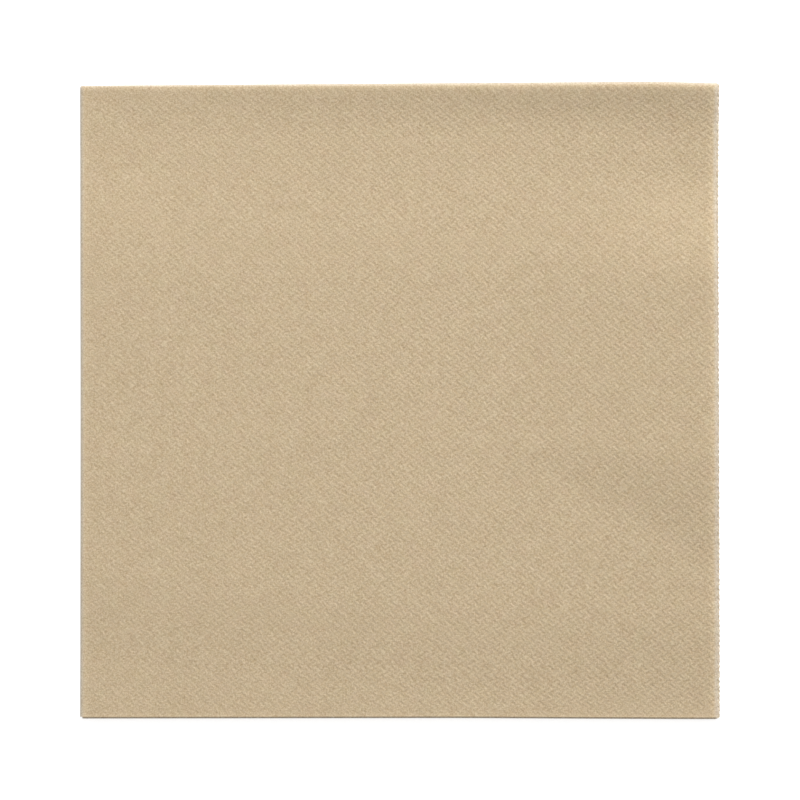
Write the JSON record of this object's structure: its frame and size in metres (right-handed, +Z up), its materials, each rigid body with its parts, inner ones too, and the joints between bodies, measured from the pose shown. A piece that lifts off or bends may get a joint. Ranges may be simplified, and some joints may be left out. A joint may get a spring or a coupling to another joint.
{
  "type": "paper napkin",
  "caption": "Soft embossed paper napkin in natural brown, folded to a flat square with a loose rounded fold, a tight fold and open layered edges, for table settings.",
  "frame": {"origin": "centre of the folded napkin's box, on its underside", "axes": "+X towards the toothed cut edges, +Y towards the loose first fold, +Z up"},
  "size_m": [0.2, 0.1994, 0.004],
  "materials": {
    "napkin_paper": "matt, soft and fibrous, with an all-over woven-look emboss"
  },
  "bodies": {
    "root": {"napkin": "napkin_paper"}
  },
  "joints": []
}
